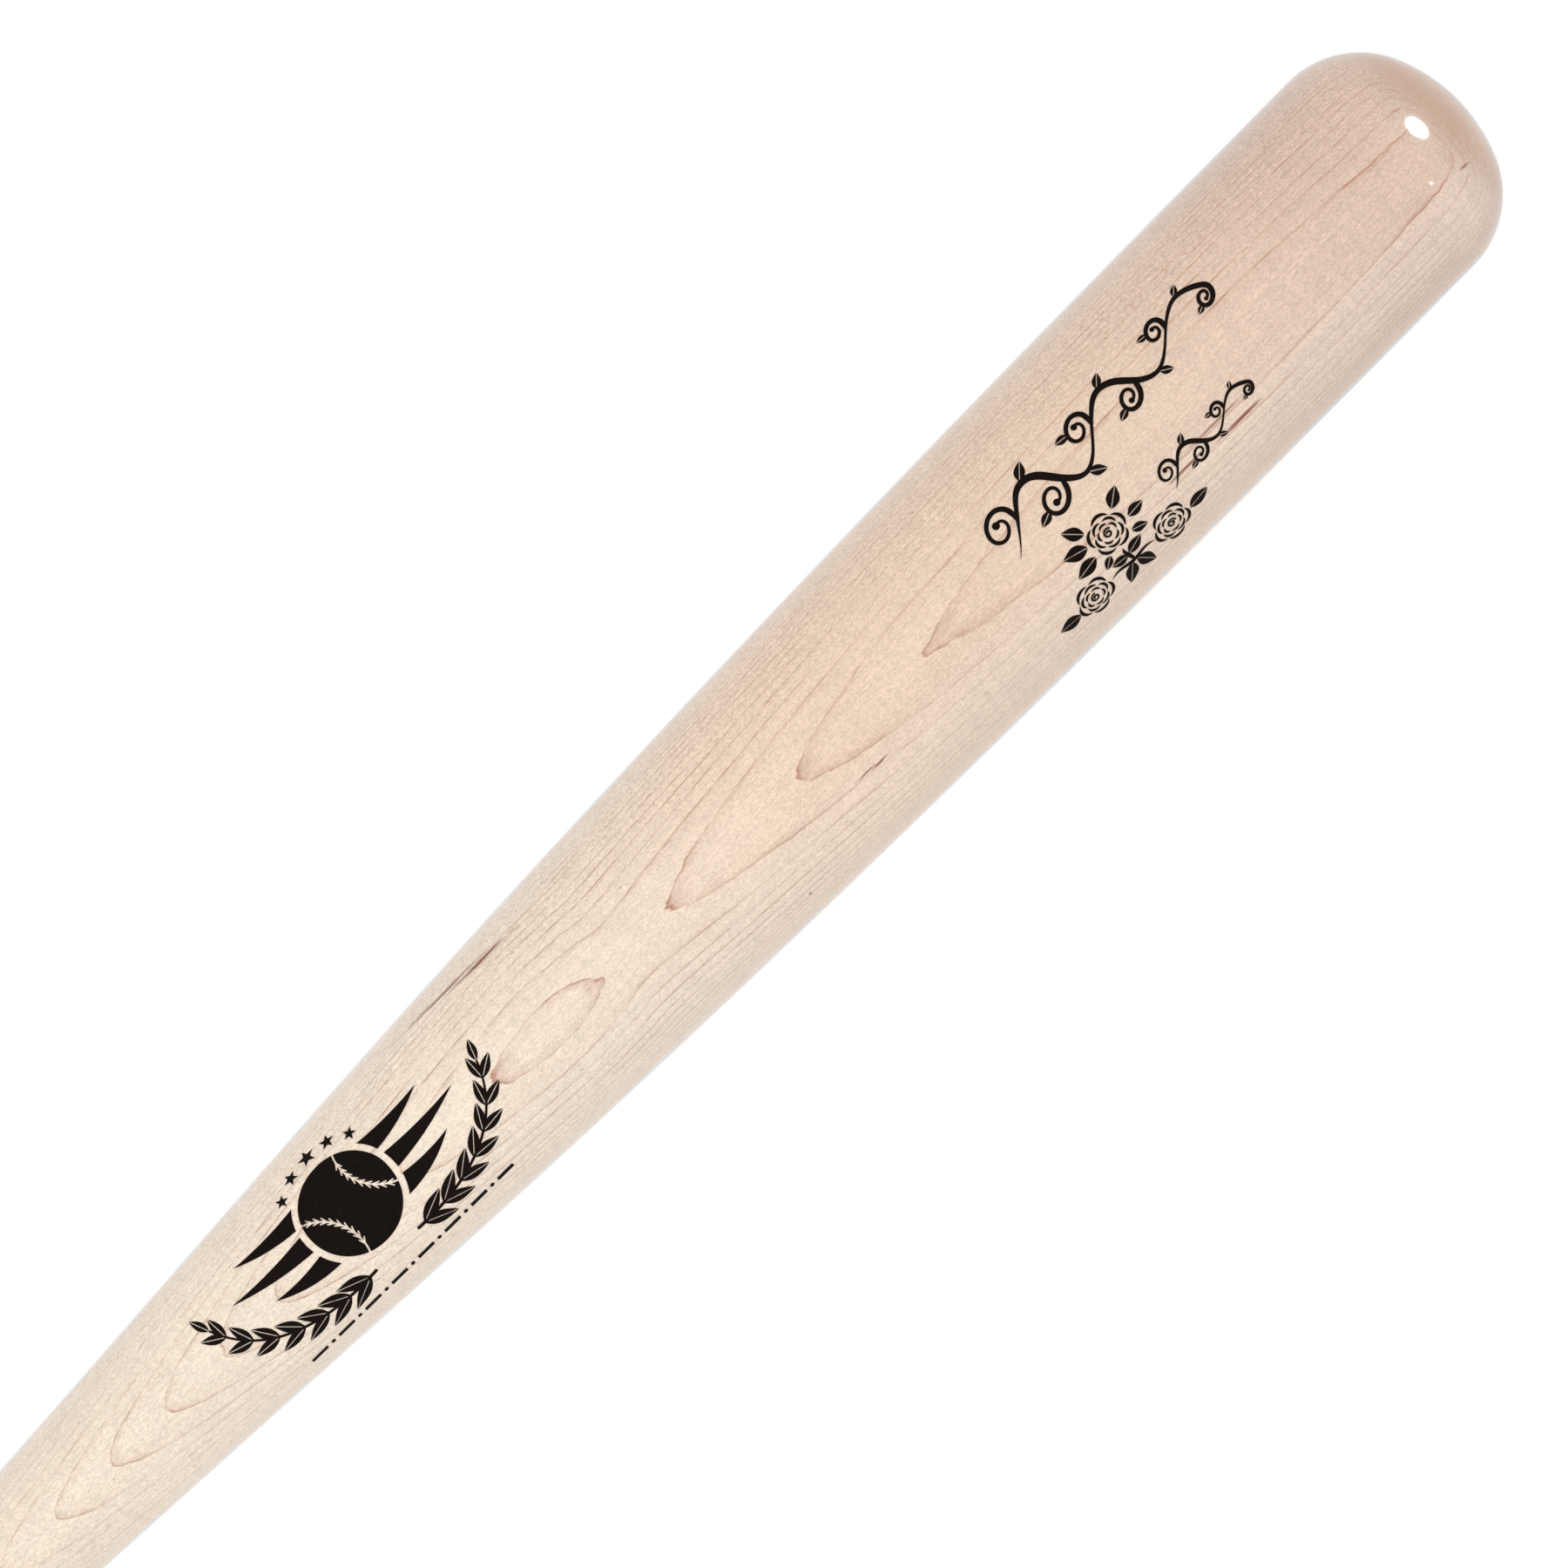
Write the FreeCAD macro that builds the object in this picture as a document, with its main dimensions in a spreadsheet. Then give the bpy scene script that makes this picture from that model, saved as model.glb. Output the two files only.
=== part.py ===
import FreeCAD, Part
# A one-piece turned maple baseball bat, 34 inches long, with ink ornament printed on its barrel.
# Millimetres.  The knob stands on the XY plane, the bat's axis runs up +Z, and the printed face
# looks along -Y.  Every ornament is drawn flat, as (height, side) pairs, and wrapped round the
# taper: height is measured up the axis, and side along the surface from the -Y line towards -X.
import math
import os

import Sketcher

DIMENSIONS = (
    ("bat_length", 863.6, "34 inches, knob end to barrel tip"),
    ("knob_flat_radius", 15.0, "flat of the knob end"),
    ("knob_round", 10.0, "radius of the knob's rim"),
    ("taper_start", 38.0, "height where the knob's flare meets the handle"),
    ("knob_neck_radius", 12.3, "handle just above the knob"),
    ("grip_radius", 11.9, "slimmest part of the handle"),
    ("upper_grip_radius", 12.4, "handle above the hands"),
    ("throat_radius", 14.6, "where the handle begins to swell"),
    ("lower_taper_radius", 20.9, "lower taper"),
    ("middle_taper_radius", 27.0, "middle of the taper"),
    ("upper_taper_radius", 30.2, "upper taper"),
    ("sweet_spot_radius", 31.8, "fullest part of the barrel, as the curve's guide point"),
    ("barrel_radius", 31.75, "2.5 inch barrel"),
    ("dome_height", 26.0, "rounded end, from the last full radius to the tip"),
    ("shoulder_radius", 24.5, "round of the barrel end's shoulder"),
    ("ink_thickness", 0.1, "film of ink that stands on the lacquered wood"),
    ("scroll_start", 714.0, "height where the long scroll begins"),
    ("scroll_length", 73.0, "length of the long scroll"),
    ("scroll_bays", 5, "bends of its stem"),
    ("scroll_swing", 6.2, "widest swing of its stem"),
    ("scroll_pen", 2.15, "broadest line of its stem"),
    ("scroll_side", 2.6, "side offset of its start"),
    ("scroll_rise", 7.5, "degrees by which both scrolls rise off the axis"),
    ("tail_start", 750.5, "height where the short scroll begins"),
    ("tail_length", 27.0, "length of the short scroll"),
    ("tail_bays", 3, "bends of its stem"),
    ("tail_swing", 3.5, "widest swing of its stem"),
    ("tail_pen", 1.5, "broadest line of its stem"),
    ("tail_side", -16.0, "side offset of its start"),
    ("spray_height", 728.0, "height of the spray's first blossom"),
    ("spray_side", -14.6, "its side offset"),
    ("blossom_radius", 5.4, "one blossom"),
    ("leaf_length", 6.4, "one leaf of the spray"),
    ("emblem_height", 485.0, "height of the emblem's centre"),
    ("emblem_reach", 46.0, "from its centre to the tips of the stripes"),
    ("ball_radius", 13.0, "the emblem's ball"),
    ("laurel_leaf", 9.4, "one laurel leaf"),
    ("ball_side", 2.5, "side offset of the ball, its stripes and its stars"),
    ("dash_row_side", -21.4, "side offset of the row of dashes"),
)

# Guide points of the taper curve: how many eighths of the taper each lies up it, and its radius.
# The end points are doubled by a third of a step, so that both ends leave parallel to the axis.
TAPER_STEPS = 8
THIRD = 1.0 / 3.0
TAPER_GUIDES = (
    (0.0, "knob_neck_radius"),
    (THIRD, "knob_neck_radius"),
    (1.0, "grip_radius"),
    (2.0, "upper_grip_radius"),
    (3.0, "throat_radius"),
    (4.0, "lower_taper_radius"),
    (5.0, "middle_taper_radius"),
    (6.0, "upper_taper_radius"),
    (7.0, "sweet_spot_radius"),
    (8.0 - THIRD, "barrel_radius"),
    (8.0, "barrel_radius"),
)
CURVE_DEGREE = 3

ORIGIN_POINT = (-1, 1)
START, END, CENTRE = 1, 2, 3
FULL_TURN = 2.0 * math.pi


# ---------------------------------------------------------------- the sheet and the sketches

def make_sheet(document):
    sheet = document.addObject("Spreadsheet::Sheet", "Dimensions")
    for row, (alias, value, note) in enumerate(DIMENSIONS, start=1):
        sheet.set(f"A{row}", alias)
        sheet.set(f"B{row}", str(value))
        sheet.setAlias(f"B{row}", alias)
        sheet.set(f"C{row}", note)
    document.recompute()
    return sheet


def origin_plane(body, role):
    return next(plane for plane in body.Origin.OriginFeatures if plane.Role == role)


def new_body(document, name):
    body = document.addObject("PartDesign::Body", name)
    body.Label = name
    return body


def new_profile_sketch(body, name):
    """A sketch on the XZ plane, so its x is the radius and its y the height."""
    sketch = body.newObject("Sketcher::SketchObject", name)
    sketch.AttachmentSupport = (origin_plane(body, "XZ_Plane"), [""])
    sketch.MapMode = "FlatFace"
    return sketch


def bind(sketch, constraint, expression):
    index = sketch.addConstraint(constraint)
    sketch.setExpression(f"Constraints[{index}]", expression)


def join(sketch, first, first_point, second, second_point):
    sketch.addConstraint(Sketcher.Constraint("Coincident", first, first_point, second, second_point))


def guide_point(sheet, step, alias):
    taper_end = sheet.bat_length - sheet.dome_height
    height = sheet.taper_start + step * (taper_end - sheet.taper_start) / TAPER_STEPS
    return FreeCAD.Vector(getattr(sheet, alias), height, 0)


def taper_curve(sheet, proud=0.0):
    """The taper as a cubic B-spline in (radius, height), moved out by proud."""
    guides = [guide_point(sheet, step, alias) for step, alias in TAPER_GUIDES]
    guides = [point + FreeCAD.Vector(proud, 0, 0) for point in guides]
    ends = CURVE_DEGREE + 1
    multiplicities = [ends] + [1] * (TAPER_STEPS - 1) + [ends]
    knots = [step / TAPER_STEPS for step in range(TAPER_STEPS + 1)]
    curve = Part.BSplineCurve()
    curve.buildFromPolesMultsKnots(guides, multiplicities, knots, False, CURVE_DEGREE)
    return curve


def draw_taper(sketch, sheet, proud_name=None):
    """Adds the taper curve to a sketch and binds each of its guide points to the sheet."""
    proud = getattr(sheet, proud_name) if proud_name else 0.0
    curve = taper_curve(sheet, proud)
    up = FreeCAD.Vector(0, 0, 1)
    circles = [sketch.addGeometry(Part.Circle(pole, up, 1.0), True) for pole in curve.getPoles()]
    spline = sketch.addGeometry(curve, False)
    for number, circle in enumerate(circles):
        alignment = "InternalAlignment:Sketcher::BSplineControlPoint"
        sketch.addConstraint(Sketcher.Constraint(alignment, circle, CENTRE, spline, number))
        sketch.addConstraint(Sketcher.Constraint("Weight", circle, 1.0))
    for (step, alias), circle, pole in zip(TAPER_GUIDES, circles, curve.getPoles()):
        radius = f"Dimensions.{alias}"
        if proud_name:
            radius += f" + Dimensions.{proud_name}"
        span = "(Dimensions.bat_length - Dimensions.dome_height - Dimensions.taper_start)"
        height = f"Dimensions.taper_start + {step} * {span} / {TAPER_STEPS}"
        bind(sketch, Sketcher.Constraint("DistanceX", *ORIGIN_POINT, circle, CENTRE, pole.x), radius)
        bind(sketch, Sketcher.Constraint("DistanceY", *ORIGIN_POINT, circle, CENTRE, pole.y), height)
    return spline


def revolve(body, sketch, name):
    turned = body.newObject("PartDesign::Revolution", name)
    turned.Profile = sketch
    turned.ReferenceAxis = (sketch, ["V_Axis"])
    turned.Angle = 360
    sketch.Visibility = False
    return turned


# ---------------------------------------------------------------- the turned wood

def flare_radius(sheet):
    """Concave arc that touches the knob's rim and runs into the handle parallel to the axis."""
    rise = sheet.taper_start - sheet.knob_round
    inset = sheet.knob_neck_radius - sheet.knob_flat_radius
    return (inset ** 2 + rise ** 2 - sheet.knob_round ** 2) / (2 * (sheet.knob_round - inset))


def crown_radius(sheet):
    """Arc over the tip that touches the shoulder arc and crosses the axis squarely."""
    across = sheet.barrel_radius - sheet.shoulder_radius
    over = sheet.dome_height - sheet.shoulder_radius
    return (across ** 2 + sheet.dome_height ** 2 - sheet.shoulder_radius ** 2) / (2 * over)


def draw_bat_profile(sketch, sheet):
    up = FreeCAD.Vector(0, 0, 1)
    tip = FreeCAD.Vector(0, sheet.bat_length, 0)
    base = FreeCAD.Vector(0, 0, 0)

    rim_centre = FreeCAD.Vector(sheet.knob_flat_radius, sheet.knob_round, 0)
    flare = flare_radius(sheet)
    flare_centre = FreeCAD.Vector(sheet.knob_neck_radius + flare, sheet.taper_start, 0)
    to_flare = flare_centre - rim_centre
    rim_end = math.atan2(to_flare.y, to_flare.x)

    shoulder_centre = FreeCAD.Vector(sheet.barrel_radius - sheet.shoulder_radius,
                                     sheet.bat_length - sheet.dome_height, 0)
    crown = crown_radius(sheet)
    crown_centre = FreeCAD.Vector(0, sheet.bat_length - crown, 0)
    to_shoulder = shoulder_centre - crown_centre
    shoulder_end = math.atan2(to_shoulder.y, to_shoulder.x)

    axis = sketch.addGeometry(Part.LineSegment(base, tip), False)
    knob_end = sketch.addGeometry(
        Part.LineSegment(base, FreeCAD.Vector(sheet.knob_flat_radius, 0, 0)), False)
    rim = sketch.addGeometry(
        Part.ArcOfCircle(Part.Circle(rim_centre, up, sheet.knob_round), -math.pi / 2, rim_end), False)
    neck = sketch.addGeometry(
        Part.ArcOfCircle(Part.Circle(flare_centre, up, flare), math.pi, math.pi + rim_end), False)
    shoulder = sketch.addGeometry(
        Part.ArcOfCircle(Part.Circle(shoulder_centre, up, sheet.shoulder_radius), 0, shoulder_end),
        False)
    top = sketch.addGeometry(
        Part.ArcOfCircle(Part.Circle(crown_centre, up, crown), shoulder_end, math.pi / 2), False)
    taper = draw_taper(sketch, sheet)

    join(sketch, axis, START, *ORIGIN_POINT)
    join(sketch, knob_end, START, *ORIGIN_POINT)
    sketch.addConstraint(Sketcher.Constraint("Vertical", axis))
    sketch.addConstraint(Sketcher.Constraint("Horizontal", knob_end))
    sketch.addConstraint(Sketcher.Constraint("Tangent", knob_end, END, rim, START))
    sketch.addConstraint(Sketcher.Constraint("Tangent", rim, END, neck, END))
    join(sketch, neck, START, taper, START)
    sketch.addConstraint(Sketcher.Constraint("Horizontal", neck, START, neck, CENTRE))
    join(sketch, shoulder, START, taper, END)
    sketch.addConstraint(Sketcher.Constraint("Horizontal", shoulder, START, shoulder, CENTRE))
    sketch.addConstraint(Sketcher.Constraint("Tangent", shoulder, END, top, START))
    join(sketch, top, END, axis, END)
    sketch.addConstraint(Sketcher.Constraint("PointOnObject", top, CENTRE, axis))

    bind(sketch, Sketcher.Constraint("Distance", axis, sheet.bat_length), "Dimensions.bat_length")
    bind(sketch, Sketcher.Constraint("Distance", knob_end, sheet.knob_flat_radius),
         "Dimensions.knob_flat_radius")
    bind(sketch, Sketcher.Constraint("Radius", rim, sheet.knob_round), "Dimensions.knob_round")
    bind(sketch, Sketcher.Constraint("Radius", shoulder, sheet.shoulder_radius),
         "Dimensions.shoulder_radius")


def make_bat_body(document, sheet):
    """Knob, handle, taper, barrel and dome, turned from one billet."""
    body = new_body(document, "bat_body")
    sketch = new_profile_sketch(body, "bat_profile")
    draw_bat_profile(sketch, sheet)
    revolve(body, sketch, "turned_billet")
    return body


# ---------------------------------------------------------------- flat drawing
# A shape is a closed outline: a list of sides, each a list of flat (height, side) points.
# A side of two points is straight, a longer one is a smooth curve, and a lone side closes on itself.

def moved(shapes, height, side, turn=0.0):
    """The same shapes turned by some degrees about (0, 0), then shifted."""
    cosine = math.cos(math.radians(turn))
    sine = math.sin(math.radians(turn))
    return [[[(height + cosine * along - sine * across, side + sine * along + cosine * across)
              for along, across in points] for points in shape] for shape in shapes]


def mirrored(shapes):
    """The same shapes flipped end for end along the axis."""
    return [[[(-along, across) for along, across in points] for points in shape] for shape in shapes]


def dot(along, across, radius):
    corners = 12
    turns = [FULL_TURN * corner / corners for corner in range(corners)]
    return [[(along + radius * math.cos(turn), across + radius * math.sin(turn)) for turn in turns]]


def polygon(corners):
    return [[corner, following] for corner, following in zip(corners, corners[1:] + corners[:1])]


def pen_stroke(guides, width_at, samples):
    """A stroke along the smooth curve through the guides, as wide at each share of it as width_at
    says.  Where the width is nothing, the stroke ends in a point."""
    route = Part.BSplineCurve()
    route.interpolate([FreeCAD.Vector(along, across, 0) for along, across in guides])
    left = []
    right = []
    for sample in range(samples + 1):
        share = sample / samples
        place = route.FirstParameter + share * (route.LastParameter - route.FirstParameter)
        point = route.value(place)
        heading = route.tangent(place)[0]
        half = width_at(share) / 2
        left.append((point.x - half * heading.y, point.y + half * heading.x))
        right.append((point.x + half * heading.y, point.y - half * heading.x))
    right.reverse()
    sides = [left]
    if width_at(1.0) > 0:
        sides.append([left[-1], right[0]])
    else:
        right[0] = left[-1]
    sides.append(right)
    if width_at(0.0) > 0:
        sides.append([right[-1], left[0]])
    else:
        right[-1] = left[0]
    return sides


def swelling(width):
    """Widest in the middle and pointed at both ends."""
    fullness = 0.7
    return lambda share: 0.0 if share in (0.0, 1.0) else width * math.sin(math.pi * share) ** fullness


def thinning(width, end_width):
    return lambda share: width + (end_width - width) * share


def tendril(width, end_width):
    """Grows out of a point, then thins towards its end."""
    return lambda share: min(1.0, 8 * share) * (width + (end_width - width) * share)


def arc_guides(centre, radius, first, last, count):
    """Points on an arc, from one angle in degrees to another."""
    angles = [math.radians(first + (last - first) * step / (count - 1)) for step in range(count)]
    return [(centre[0] + radius * math.cos(angle), centre[1] + radius * math.sin(angle))
            for angle in angles]


def spiral_guides(centre, radius, end_radius, first, sweep, count):
    points = []
    for step in range(count):
        share = step / (count - 1)
        angle = math.radians(first + sweep * share)
        reach = radius + (end_radius - radius) * share
        points.append((centre[0] + reach * math.cos(angle), centre[1] + reach * math.sin(angle)))
    return points


# ---------------------------------------------------------------- the motifs

def scroll_shapes(length, swing, bays, pen):
    """A leaning vine that dies away.  Wherever it crosses its middle line, a tendril curls back into
    the bend behind, with a leaf on its back, and another leaf grows out of every crest."""
    fading = 0.45
    lean = 0.22
    lead_in = 0.35
    guides_per_bay = 4
    samples_per_bay = 12
    leaf_guide = 6
    bay = length / bays

    def size_at(along):
        return 1 - fading * max(0.0, along) / length

    def stem_side(along):
        return swing * size_at(along) * math.sin(math.pi * along / bay)

    def leaned(points):
        return [(along + lean * across, across) for along, across in points]

    def stem_width(share):
        """Broad on the way down and fine on the way up, as a pen held at one angle draws it."""
        along = (bays + lead_in) * share - lead_in
        stroke = 0.7 - 0.3 * math.cos(math.pi * along)
        return pen * stroke * min(1.0, 10 * share) * (1 - 0.3 * share)

    stem = []
    steps = guides_per_bay * bays + 1
    for step in range(steps + 1):
        along = bay * ((bays + lead_in) * step / steps - lead_in)
        stem.append((along, stem_side(along)))
    shapes = [pen_stroke(leaned(stem), stem_width, samples_per_bay * bays)]
    for number in range(bays + 1):
        crossing = number * bay
        size = size_at(crossing)
        turning = 1 if number % 2 else -1
        slope = math.degrees(math.atan(math.pi * swing * size / bay))
        radius = 0.34 * bay * size
        first = turning * (90 - slope)
        centre = (crossing - radius * math.cos(math.radians(first)),
                  -radius * math.sin(math.radians(first)))
        curl = leaned(spiral_guides(centre, radius, 0.26 * radius, first, -turning * 500, 16))
        line = tendril if number < bays else thinning
        shapes.append(pen_stroke(curl, line(0.7 * pen, 0.34 * pen), 44))
        shapes.append(dot(*curl[-1], 0.2 * radius))
        if number > 0:
            leaf = leaf_shapes(0.32 * bay * size, 0.17 * bay * size)
            shapes += moved(leaf, *curl[leaf_guide], -turning * 165)
            crest = crossing - 0.5 * bay
            foot = leaned([(crest, stem_side(crest) + turning * 0.2 * pen)])[0]
            leaf = leaf_shapes(0.38 * bay * size, 0.20 * bay * size)
            shapes += moved(leaf, *foot, turning * 40)
    return shapes


def blossom_shapes(radius):
    """Three rings of five scalloped petals round a spiral heart."""
    petals = 5
    shapes = []
    for scale, lead, line in ((1.0, 0.0, 0.9), (0.74, 36.0, 0.75), (0.5, 8.0, 0.65)):
        for petal in range(petals):
            out = lead + 360.0 * petal / petals
            middle = (0.42 * radius * scale * math.cos(math.radians(out)),
                      0.42 * radius * scale * math.sin(math.radians(out)))
            edge = arc_guides(middle, 0.54 * radius * scale, out - 57, out + 57, 7)
            shapes.append(pen_stroke(edge, swelling(line), 14))
    heart = spiral_guides((0, 0), 0.24 * radius, 0.05 * radius, 20, 500, 12)
    shapes.append(pen_stroke(heart, thinning(0.5, 0.6), 30))
    return shapes


def leaf_shapes(length, belly):
    """A pointed leaf from (0, 0) along +height, split by a bare vein."""
    half_vein = 0.11
    edge_points = 7
    shapes = []
    for hand in (1, -1):
        edge = []
        for step in range(edge_points + 1):
            share = step / edge_points
            bulge = belly / 2 * math.sin(math.pi * share ** 0.85)
            edge.append((length * share, hand * (half_vein + bulge)))
        shapes.append([edge, [edge[-1], edge[0]]])
    return shapes


def spray_shapes(leaf_length):
    """Leaves and stems that tie the three blossoms together, seen from the first blossom."""
    leaves = (
        (-4.4, 4.2, 133, 0.9),
        (-6.0, 1.2, 163, 1.05),
        (-6.2, -2.2, 190, 1.05),
        (-3.5, -4.9, 222, 0.6),
        (4.6, 3.9, 38, 0.9),
        (6.3, -0.6, 4, 0.8),
        (4.6, -4.1, 338, 0.7),
        (0.3, -8.6, 20, 0.85),
        (-0.3, -8.8, 170, 0.75),
        (-0.6, -11.6, 238, 1.0),
        (1.0, -11.6, 302, 1.0),
        (18.6, -12.4, 8, 1.0),
        (-18.4, -11.8, 174, 1.0),
    )
    shapes = []
    for along, across, heading, scale in leaves:
        leaf = leaf_shapes(scale * leaf_length, 0.56 * scale * leaf_length)
        shapes += moved(leaf, along, across, heading)
    stems = (
        ((0.0, -5.9), (-0.3, -7.8), (0.2, -9.8), (0.1, -12.0)),
        ((-7.0, -11.0), (-3.4, -10.5), (0.0, -11.3), (3.4, -10.8), (7.0, -11.7)),
    )
    for stem in stems:
        shapes.append(pen_stroke(stem, swelling(1.1), 16))
    return shapes


def ball_shapes(radius):
    """A ball, and the two stitched seams that are left bare on it."""
    seam_centre = 1.42 * radius
    seam_radius = 0.98 * radius
    tilt = 24
    seam_half_angle = 52
    stitched_half_angle = 33
    stitch_length = 1.75
    stitch_lean = 62
    stitches = 9
    bare = []
    for hand in (0, 180):
        arc = arc_guides((-seam_centre, 0), seam_radius, -seam_half_angle, seam_half_angle, 9)
        parts = [pen_stroke(arc, thinning(0.5, 0.5), 16)]
        for stitch in range(stitches):
            angle = (2 * stitch / (stitches - 1) - 1) * stitched_half_angle
            knot = arc_guides((-seam_centre, 0), seam_radius, angle, angle + 1, 2)[0]
            for lean in (angle + stitch_lean, angle + 180 - stitch_lean):
                tip = (knot[0] + stitch_length * math.cos(math.radians(lean)),
                       knot[1] + stitch_length * math.sin(math.radians(lean)))
                middle = ((knot[0] + tip[0]) / 2, (knot[1] + tip[1]) / 2)
                parts.append(pen_stroke([knot, middle, tip], thinning(0.5, 0.34), 4))
        bare += moved(parts, 0, 0, hand + tilt)
    return [dot(0, 0, radius)], bare


def stripe_shapes(ball_radius, reach):
    """Three tapered stripes that trail from one side of the ball, hollowed to clear it."""
    ring = ball_radius + 1.7
    half_width = 2.5
    shapes = []
    for across, share in ((7.0, 0.68), (0.3, 0.82), (-6.4, 0.64)):
        hollow = []
        for step in (-1.0, -0.5, 0.0, 0.5, 1.0):
            side = across + step * half_width
            hollow.append((math.sqrt(ring ** 2 - side ** 2), side))
        tip = (share * reach, across + 2.4)
        halfway = 0.5 * (ring + tip[0])
        upper = [hollow[-1], (halfway, across + 0.75 * half_width), tip]
        lower = [tip, (halfway, across - 0.35 * half_width), hollow[0]]
        shapes.append([hollow, upper, lower])
    return shapes


def laurel_shapes(leaf_length, reach):
    """One laurel branch that sweeps out from under the ball and up past the stripes."""
    route = Part.BSplineCurve()
    guides = ((7.0, -14.4), (0.42 * reach, -14.0), (0.78 * reach, -7.8), (reach, 5.0))
    route.interpolate([FreeCAD.Vector(along, across, 0) for along, across in guides])
    pairs = 7
    branch = pen_stroke(guides, thinning(0.95, 0.5), 20)
    shapes = [branch]
    for pair in range(pairs):
        share = (pair + 0.35) / pairs
        place = route.FirstParameter + share * (route.LastParameter - route.FirstParameter)
        point = route.value(place)
        heading = math.degrees(math.atan2(*reversed(route.tangent(place)[0][:2])))
        length = leaf_length * (1 - 0.35 * share)
        for spread in (27, -27):
            leaf = leaf_shapes(length, 0.36 * length)
            shapes += moved(leaf, point.x, point.y, heading + spread)
    end = route.value(route.LastParameter)
    tip_heading = math.degrees(math.atan2(*reversed(route.tangent(route.LastParameter)[0][:2])))
    shapes += moved(leaf_shapes(0.6 * leaf_length, 0.22 * leaf_length), end.x, end.y, tip_heading)
    return shapes


def star_shapes(ball_radius):
    """Five stars in an arc over the ball, largest in the middle."""
    points = 5
    waist = 0.42
    shapes = []
    for place, size in ((-2, 1.9), (-1, 2.2), (0, 2.6), (1, 2.2), (2, 1.9)):
        angle = 90 - 21 * place
        corners = []
        for corner in range(2 * points):
            reach = size if corner % 2 == 0 else waist * size
            turn = math.radians(angle + 180 * corner / points)
            corners.append((reach * math.cos(turn), reach * math.sin(turn)))
        middle = arc_guides((0, 0), ball_radius + 4.4, angle, angle + 1, 2)[0]
        shapes += moved([polygon(corners)], *middle)
    return shapes


def dash_shapes(reach):
    """A row of dashes with a spot between each two."""
    dash = 5.2
    gap = 1.3
    spot = 0.6
    thick = 1.15
    step = dash + 2 * gap + 2 * spot
    count = int(2 * 0.88 * reach / step)
    start = -((count - 1) * step + dash) / 2
    shapes = []
    for number in range(count):
        left = start + number * step
        right = left + dash
        corners = [(left, -thick / 2), (right, -thick / 2), (right, thick / 2), (left, thick / 2)]
        shapes.append(polygon(corners))
        if number < count - 1:
            shapes.append(dot(right + gap + spot, 0, spot))
    return shapes


# ---------------------------------------------------------------- ink on the wood

def wrapping(sheet):
    """A function that lays a flat point on the taper, and gives it as seen from straight in front."""
    curve = taper_curve(sheet)
    taper_length = sheet.bat_length - sheet.dome_height - sheet.taper_start

    def wrap(height, side):
        radius = curve.value((height - sheet.taper_start) / taper_length).x
        return FreeCAD.Vector(-radius * math.sin(side / radius), 0, height)

    return wrap


def prism(shape, wrap, reach):
    """The shape's outline as seen from the front, pushed out through the bat's front half."""
    edges = []
    for side in shape:
        points = [wrap(height, across) for height, across in side]
        if len(points) == 2:
            edges.append(Part.LineSegment(*points).toShape())
        else:
            curve = Part.BSplineCurve()
            curve.interpolate(Points=points, PeriodicFlag=len(shape) == 1)
            edges.append(curve.toShape())
    return Part.Face(Part.Wire(edges)).extrude(FreeCAD.Vector(0, -reach, 0))


def joined(solids):
    return solids[0].multiFuse(solids[1:]) if len(solids) > 1 else solids[0]


def make_ink_film(document, sheet):
    """A skin of ink all round the taper, which each mark takes its own piece of."""
    body = new_body(document, "ink_film")
    sketch = new_profile_sketch(body, "film_profile")
    inner = draw_taper(sketch, sheet)
    outer = draw_taper(sketch, sheet, "ink_thickness")
    for point in (START, END):
        origin = sketch.Geometry[inner]
        radius_end = origin.StartPoint if point == START else origin.EndPoint
        across = radius_end + FreeCAD.Vector(sheet.ink_thickness, 0, 0)
        edge = sketch.addGeometry(Part.LineSegment(radius_end, across), False)
        join(sketch, edge, START, inner, point)
        join(sketch, edge, END, outer, point)
    revolve(body, sketch, "turned_film")
    return body


def make_mark(document, sheet, film, name, shapes, bare=()):
    """One ink mark: its outlines pushed through the film, less any outlines left bare."""
    wrap = wrapping(sheet)
    reach = 2 * sheet.barrel_radius
    solid = joined([prism(shape, wrap, reach) for shape in shapes])
    if bare:
        solid = solid.cut(joined([prism(shape, wrap, reach) for shape in bare]))
    outlines = document.addObject("Part::Feature", f"{name}_outlines")
    outlines.Shape = solid
    mark = document.addObject("Part::Common", name)
    mark.Label = name
    mark.Base = outlines
    mark.Tool = film
    return mark


def make_scrolls(document, sheet, film):
    long_scroll = scroll_shapes(sheet.scroll_length, sheet.scroll_swing, sheet.scroll_bays,
                                sheet.scroll_pen)
    short_scroll = scroll_shapes(sheet.tail_length, sheet.tail_swing, sheet.tail_bays,
                                 sheet.tail_pen)
    long_scroll = moved(long_scroll, sheet.scroll_start, sheet.scroll_side, sheet.scroll_rise)
    short_scroll = moved(short_scroll, sheet.tail_start, sheet.tail_side, sheet.scroll_rise)
    return [
        make_mark(document, sheet, film, "long_scroll", long_scroll),
        make_mark(document, sheet, film, "short_scroll", short_scroll),
    ]


def make_spray(document, sheet, film):
    blossom = blossom_shapes(sheet.blossom_radius)
    marks = []
    for name, along, across, turn in (
        ("blossom_inner", 0.0, 0.0, 10),
        ("blossom_lower", -12.8, -11.0, 50),
        ("blossom_upper", 12.8, -11.6, -25),
    ):
        shapes = moved(blossom, sheet.spray_height + along, sheet.spray_side + across, turn)
        marks.append(make_mark(document, sheet, film, name, shapes))
    foliage = moved(spray_shapes(sheet.leaf_length), sheet.spray_height, sheet.spray_side)
    marks.append(make_mark(document, sheet, film, "spray_foliage", foliage))
    return marks


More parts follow.
